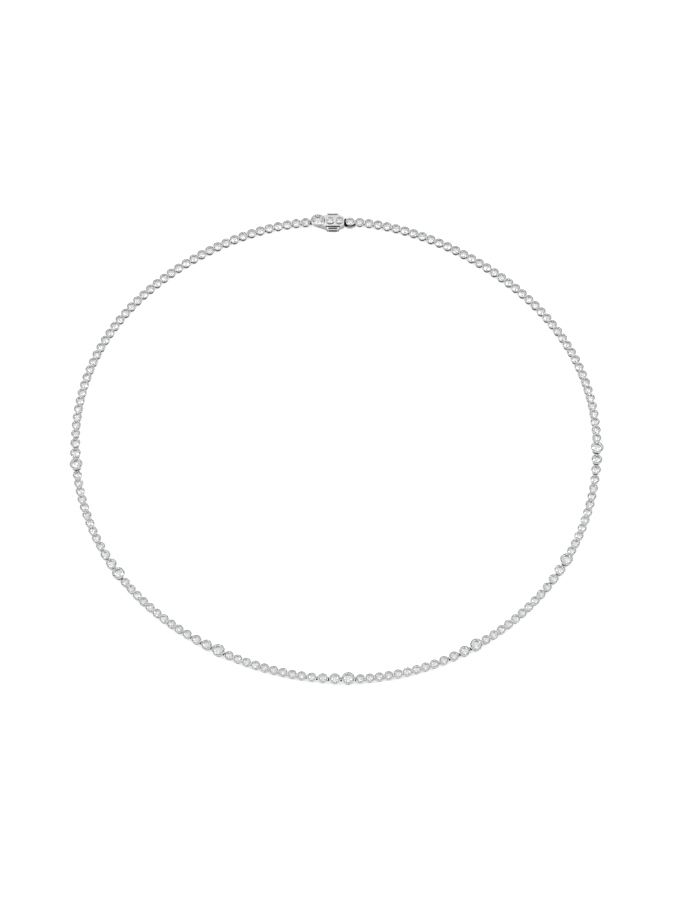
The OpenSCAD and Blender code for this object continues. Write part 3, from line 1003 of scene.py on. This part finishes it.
def room_outline():
    """The room in the box from above, a wall's thickness inside its straight and its mouth's side."""
    half = BOX_W / 2 - BOX_WALL
    start, end = BUTTON_X - STRAIGHT_HALF, BUTTON_X + STRAIGHT_HALF
    back, front = MOUTH_X - ROOM_LEN, MOUTH_X - BOX_WALL
    back_half = half - (start - back) * (BOX_W - END_FOOT_D) / 2 / (start - END_X)
    front_half = half - (front - end) * (BOX_W - MOUTH_W) / 2 / (MOUTH_X - end)
    return mirrored([(back, back_half), (start, half), (end, half), (front, front_half)])


def seat_profile(d, lip):
    """The hollow for a stone in the box, open upwards."""
    seat_r = d / 2 + STONE_GAP
    seat_z = BOX_RIM_H - lip - STONE_GAP
    above = BOX_RIM_H + PAST
    return [(0, seat_z - seat_r * 2 * PAVILION), (seat_r, seat_z), (seat_r, above), (0, above)]


def moved(x):
    return Matrix.Translation((x, 0, 0))


def housing_body():
    """The box with its round end and the outsides of the two small collets."""
    body = solid(lambda bm: prism(bm, box_outline(), 0, DECK_H))
    end = solid(lambda bm: turn_profile(bm, [
        (0, 0), (END_FOOT_D / 2, 0), (END_D / 2, BOX_RIM_H - END_RIM_H),
        (END_D / 2 - END_RIM_W, BOX_RIM_H), (0, BOX_RIM_H),
    ], END_SIDES, moved(END_X)))
    foot = DECK_H - CLASP_FOOT_DEPTH
    collet = [
        (0, foot), (CLASP_FOOT_D / 2, foot), (CLASP_FOOT_D / 2, DECK_H),
        (rim_r(CLASP_STONE_D), BOX_RIM_H), (0, BOX_RIM_H),
    ]
    small = [
        solid(lambda bm, x=x: turn_profile(bm, collet, CLASP_COLLET_SIDES, moved(x))) for x in CLASP_STONE_X
    ]
    return combined(body, [end] + small, "UNION")


def housing_cuts():
    """What is taken out of the box: its room, mouth, windows, seats and hinge slot."""
    window = BUTTON_LEN / 2 + BUTTON_GAP
    end_seat = seat_profile(END_STONE_D, END_LIP_H)
    small_seat = seat_profile(CLASP_STONE_D, LIP_H)
    return [
        solid(lambda bm: prism(bm, room_outline(), FLOOR_H, ROOM_TOP)),
        solid(lambda bm: block(
            bm, (MOUTH_X - PAST, -TONGUE_W / 2 - MOUTH_GAP, TONGUE_Z - MOUTH_GAP),
            (MOUTH_X + PAST, TONGUE_W / 2 + MOUTH_GAP, TONGUE_Z + TONGUE_T + MOUTH_GAP))),
        solid(lambda bm: block(
            bm, (BUTTON_X - window, -BOX_W, FLOOR_H), (BUTTON_X + window, BOX_W, ROOM_TOP))),
        solid(lambda bm: turn_profile(bm, end_seat, END_SIDES, moved(END_X))),
        *[
            solid(lambda bm, x=x: turn_profile(bm, small_seat, CLASP_COLLET_SIDES, moved(x)))
            for x in CLASP_STONE_X
        ],
        solid(lambda bm: block(
            bm, (CLASP_BAR_X - PAST, -SLOT_W / 2, -PAST),
            (CLASP_BAR_X + SLOT_REACH, SLOT_W / 2, HINGE_H + SLOT_REACH))),
    ]


def paint_housing(mesh):
    """Painted dark reflection on the small collets' sides and a painted shadow line above the near window,
    bright rims, seats painted lighter as painted light, and a round end's slope painted greyer as painted
    shade.
    """
    left, right = BUTTON_X - OVER_WINDOW_HALF, BUTTON_X + OVER_WINDOW_HALF
    over_window = ((left, -2 * OVER_WINDOW_Y, ROOM_TOP), (right, -OVER_WINDOW_Y, OVER_WINDOW_TOP))
    cut_along(mesh, [over_window])

    def pick(place, normal):
        from_end = math.hypot(place.x - END_X, place.y)
        beside = min(math.hypot(place.x - x, place.y) for x in CLASP_STONE_X)
        on_side = CLASP_FOOT_D / 2 < beside < rim_r(CLASP_STONE_D) + NEAR
        on_slope = END_STONE_D / 2 + END_RIM_INSIDE < from_end < END_D / 2 + NEAR
        in_seat = from_end < END_STONE_D / 2 + 2 * STONE_GAP or beside < CLASP_STONE_D / 2 + 2 * STONE_GAP
        seat_like = SEAT_SLOPE[0] < normal.z < SEAT_SLOPE[1] or place.z > DECK_H + ABOVE_DECK
        # Painted dark reflection on the small collets' sides above the deck
        if on_side and place.z > DECK_H + ABOVE_DECK and abs(normal.z) < STEEP:
            return PAINTED_DARK
        if place.z > BOX_RIM_H - RIM_TOP:
            return GOLD
        # Painted shade on the round end's slope
        if on_slope and place.z > BOX_RIM_H - END_RIM_H:
            return SATIN_SHADED
        # Painted light on the seats
        if in_seat and seat_like:
            return LIT_SEAT
        # Painted shadow line above the near window
        return PAINTED_DARK if in_patches(place, normal, [over_window]) else CLASP

    paint(mesh, [CLASP, PAINTED_DARK, GOLD, SATIN_SHADED, LIT_SEAT], pick)


def clasp_housing():
    """The clasp's box: deck, sloping round end, two small collets, room, mouth, windows and hinge bar."""
    body = combined(housing_body(), housing_cuts(), "DIFFERENCE")
    bar = solid(lambda bm: draw_bar(bm, CLASP_BAR_X))
    mesh = joined("clasp_housing", [softened("clasp_housing", body, BOX_EDGE), new_mesh("bar", bar)])
    paint_housing(mesh)
    piece("clasp_housing", at_clasp(mesh), "necklace", "white_gold", "clasp_box")


def tongue_cup():
    """The tongue's collet, with a waist where its painted shade starts."""
    profile = collet_profile(TONGUE_STONE_D, TONGUE_H, TONGUE_FOOT_R, 5)
    profile.insert(3, (TONGUE_FOOT_R + TONGUE_TAPER * TONGUE_WAIST / TONGUE_H, TONGUE_WAIST))
    return new_mesh("cup", solid(lambda bm: turn_profile(bm, profile, TONGUE_SIDES, moved(TONGUE_X))))


def base_ring():
    """The wider ring that the tongue's collet stands in."""
    inner = TONGUE_FOOT_R - FOOT_WALL / 2
    top = arc((BASE_RING_R - RING_ROUND, BASE_RING_H - RING_ROUND), RING_ROUND, 0, 90, 4)
    profile = [(inner, 0), (BASE_RING_R - BEVEL, 0), (BASE_RING_R, BEVEL), *top, (inner, BASE_RING_H)]
    return new_mesh("base", solid(lambda bm: turn_profile(bm, profile, TONGUE_SIDES, moved(TONGUE_X))))


def tongue_plate():
    """The plate that goes into the box, and the shoulder that stays in front of its mouth."""
    end = TONGUE_X - TONGUE_FOOT_R + FOOT_WALL
    plate = solid(lambda bm: block(
        bm, (MOUTH_X - TONGUE_IN, -TONGUE_W / 2, TONGUE_Z), (end, TONGUE_W / 2, TONGUE_Z + TONGUE_T)))
    shoulder = solid(lambda bm: block(
        bm, (MOUTH_X + MOUTH_GAP, -SHOULDER_W / 2, BASE_RING_H), (end, SHOULDER_W / 2, SHOULDER_H)))
    return [softened("plate", plate, BOX_EDGE), softened("shoulder", shoulder, BOX_EDGE)]


def tongue_finish(place, normal):
    """Painted shade by the mouth and under the rim, bright on top."""
    beside = math.hypot(place.x - TONGUE_X, place.y)
    in_shoulder = place.z > BASE_RING_H + NEAR and abs(place.y) < SHOULDER_W / 2 + NEAR
    by_mouth = place.x < TONGUE_MOUTH_X and in_shoulder
    under_rim = place.z > TONGUE_WAIST and beside > TONGUE_FOOT_R - COLLET_SLACK
    if place.z < TONGUE_RIM_Z and (by_mouth or under_rim):
        return PAINTED_DARK
    return GOLD if place.z > TONGUE_RIM_Z else CLASP


def tongue(first_bar):
    """The tongue's collet on its wider base ring, the tongue plate and the eye for the first link."""
    mesh = joined("clasp_tongue_collet", [tongue_cup(), base_ring(), *tongue_plate()])
    paint(mesh, [CLASP, PAINTED_DARK, GOLD], tongue_finish)
    eye_at = first_bar - clasp_at
    start = Vector((TONGUE_X + BASE_RING_R - OVERLAP, 0, eye_at.z))
    way = eye_at - start
    turn = Matrix.Rotation(math.atan2(way.y, way.x), 4, "Z")
    stretch = Matrix.Diagonal((way.length - EYE_HOLE_R - BEVEL, 1, 1, 1))
    arm, eye = arm_mesh(), eye_mesh()
    arm.transform(Matrix.Translation(start * MM) @ turn @ stretch)
    eye.transform(Matrix.Translation(eye_at * MM) @ turn)
    mesh = joined("clasp_tongue_collet", [mesh, arm, eye])
    piece("clasp_tongue_collet", at_clasp(mesh), "necklace", "white_gold", "clasp_tongue")


def button_solid():
    """A button with round corners and bevelled edges, and the flange that keeps it in the box."""
    back = FLANGE_Y - FLANGE_T
    x = BUTTON_LEN / 2 - BUTTON_CORNER
    y = BUTTON_REACH - BUTTON_CORNER
    low, high = FLOOR_H + BUTTON_GAP, FLOOR_H + BUTTON_GAP + BUTTON_H
    outline = [(-BUTTON_LEN / 2, back), (BUTTON_LEN / 2, back)]
    outline += arc((x, y), BUTTON_CORNER, 0, 90, 10) + arc((-x, y), BUTTON_CORNER, 90, 180, 10)
    wedge = [
        (0, low), (BUTTON_REACH - BUTTON_BEVEL, low), (BUTTON_REACH, low + BUTTON_BEVEL),
        (BUTTON_REACH, high - BUTTON_BEVEL), (BUTTON_REACH - BUTTON_BEVEL, high), (0, high),
    ]
    body = solid(lambda bm: prism(bm, outline, low, high, moved(BUTTON_X)))
    bevels = solid(lambda bm: prism(bm, wedge, BUTTON_X - BUTTON_LEN, BUTTON_X + BUTTON_LEN, LYING))
    flange = solid(lambda bm: block(
        bm, (BUTTON_X - FLANGE_LEN / 2, back, low), (BUTTON_X + FLANGE_LEN / 2, FLANGE_Y, high)))
    return combined(combined(body, [bevels], "INTERSECT"), [flange], "UNION")


def band(half, start, end, low):
    """A patch painted dark on a button: half its length, how far out it starts and ends, and its foot."""
    return (BUTTON_X - half, start, low), (BUTTON_X + half, end, ROOM_TOP)


def push_button(name, body, node, inner, patches):
    """One of the two alike buttons, painted dark in the patches and, on the inner one, at its ends: painted
    shadow on the outer one, painted reflection on the inner one.
    """
    mesh = softened(name, button_solid(), BUTTON_EDGE, angle=25)
    cut_along(mesh, patches)
    # The inner button takes the collets' metal, with its darker painted side shade
    metal = GOLD if inner else CLASP

    def pick(place, normal):
        at_end = abs(place.x - BUTTON_X) > BUTTON_LEN / 2 - BUTTON_END and abs(normal.z) < STEEP
        # Painted dark reflection on the inner button's ends
        dark_end = inner and at_end and place.y > BOX_W / 2 + BUTTON_FOOT
        return PAINTED_DARK if dark_end or in_patches(place, normal, patches) else metal

    paint(mesh, [metal, PAINTED_DARK], pick)
    if inner:
        mesh.transform(Matrix.Diagonal((1, -1, 1, 1)))
        mesh.flip_normals()
    piece(name, at_clasp(mesh), body, "button_metal", node)


def outer_button():
    """The button away from the neck, with a painted shadow along its foot."""
    wall = BOX_W / 2
    foot = band(half=1.3, start=wall, end=wall + 0.45, low=ROOM_TOP - BAND_DEPTH)
    push_button("outer_push_button", "outer_button", "button_outer", False, [foot])


def inner_button():
    """The button towards the neck, with painted dark reflections: a band on its top, its face and its ends.
    """
    wall = BOX_W / 2
    top = band(half=1.2, start=wall + 0.36, end=wall + 0.8, low=ROOM_TOP - BAND_DEPTH)
    face = band(half=1.15, start=BUTTON_REACH - 0.1, end=BUTTON_REACH + 0.1, low=FLOOR_H)
    push_button("inner_push_button", "inner_button", "button_inner", True, [top, face])


def clasp_stones():
    meshes = []
    for d, x, h, lip in (
        (END_STONE_D, END_X, BOX_RIM_H, END_LIP_H),
        (CLASP_STONE_D, CLASP_STONE_X[0], BOX_RIM_H, LIP_H),
        (CLASP_STONE_D, CLASP_STONE_X[1], BOX_RIM_H, LIP_H),
        (TONGUE_STONE_D, TONGUE_X, TONGUE_H, LIP_H),
    ):
        mesh = stone_mesh(d)
        mesh.transform(Matrix.Translation(Vector((x, 0, h - lip)) * MM))
        meshes.append(mesh)
    mesh = joined("clasp_stones_cut", meshes)
    mesh.materials.append(STONE)
    piece("clasp_stones_cut", at_clasp(mesh), "necklace", "stone",
          "clasp_end_stone", "clasp_stone_1", "clasp_stone_2", "tongue_stone")


# Floor, light and camera

FLOOR_HALF = 3000
FLOOR_DROP = 0.01
WORLD_STRENGTH = 0.9
# Name, place, width and depth, and watts. All aim at the origin.
SOFTBOXES = (
    ("left", (-850, 0, 900), (400, 400), 2.0),
    ("right", (850, 0, 900), (400, 400), 2.0),
    ("back", (0, 620, 1070), (1200, 700), 0.5),
)


def floor():
    bm = bmesh.new()
    bmesh.ops.create_grid(bm, x_segments=1, y_segments=1, size=FLOOR_HALF)
    board = new_object("floor", new_mesh("floor", bm))
    board.data.transform(Matrix.Translation((0, 0, -FLOOR_DROP * MM)))
    board.data.materials.append(white_board())


def softbox(name, place, size, power):
    light = bpy.data.lights.new(name, "AREA")
    light.shape = "RECTANGLE"
    light.size, light.size_y = (side * MM for side in size)
    light.energy = power
    obj = new_object(name, light)
    obj.location = Vector(place) * MM
    obj.rotation_euler = (Vector((0, 0, 0)) - obj.location).to_track_quat("-Z", "Y").to_euler()


def lights():
    world = bpy.data.worlds.new("studio")
    bpy.context.scene.world = world
    world.use_nodes = True
    background = world.node_tree.nodes["Background"]
    background.inputs["Color"].default_value = (1, 1, 1, 1)
    background.inputs["Strength"].default_value = WORLD_STRENGTH
    for name, place, size, power in SOFTBOXES:
        softbox(name, place, size, power)


# The photograph's width, and the camera that was fitted to the links in it
FRAME_PX = 673
FOCAL_PX = 8133
SENSOR = 36
AZIMUTH = math.radians(-0.021)
ELEVATION = math.radians(60.203)
DISTANCE = 2149.15
ORIGIN_RIGHT_PX = 0.3
ORIGIN_UP_PX = 1.19


def camera():
    data = bpy.data.cameras.new("camera")
    data.sensor_fit = "HORIZONTAL"
    data.sensor_width = SENSOR
    data.lens = SENSOR * FOCAL_PX / FRAME_PX
    data.clip_start = 0.1
    data.clip_end = 20
    obj = new_object("camera", data)
    level = math.cos(ELEVATION)
    ahead = Vector((math.sin(AZIMUTH) * level, math.cos(AZIMUTH) * level, -math.sin(ELEVATION)))
    right = Vector((math.cos(AZIMUTH), -math.sin(AZIMUTH), 0))
    up = right.cross(ahead)
    pixel = DISTANCE / FOCAL_PX
    aim = -right * ORIGIN_RIGHT_PX * pixel - up * ORIGIN_UP_PX * pixel
    obj.location = -ahead * DISTANCE * MM
    obj.rotation_euler = (aim * MM - obj.location).to_track_quat("-Z", "Y").to_euler()
    bpy.context.scene.camera = obj


def nodes_called(start):
    return [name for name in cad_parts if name.startswith(start)]


def chain():
    """All links with their hinges and stones."""
    links = read_links()
    small, graded, large = ([link for link in links if link.kind == kind] for kind in LINK_NODES)
    collets("small_collets", small, LINK_NODES["small"], sides=32, steps=3)
    collets("graduated_collets", graded, LINK_NODES["graduated"], sides=48, steps=4)
    collets("accent_collets", large, LINK_NODES["accent"], sides=64, steps=5)
    hinges("small_hinges", small)
    hinges("large_hinges", graded + large)
    stones("small_stones", small, [], seed=3)
    stones("graduated_stones_cut", graded, nodes_called("graduated_stones"), seed=4)
    stones("accent_stones_cut", large, nodes_called("accent_stone"), seed=5)
    return links


def main():
    camera()
    floor()
    lights()
    bpy.context.scene.view_settings.view_transform = "Standard"
    links = chain()
    clasp_housing()
    tongue(links[0].bar)
    outer_button()
    inner_button()
    clasp_stones()


main()
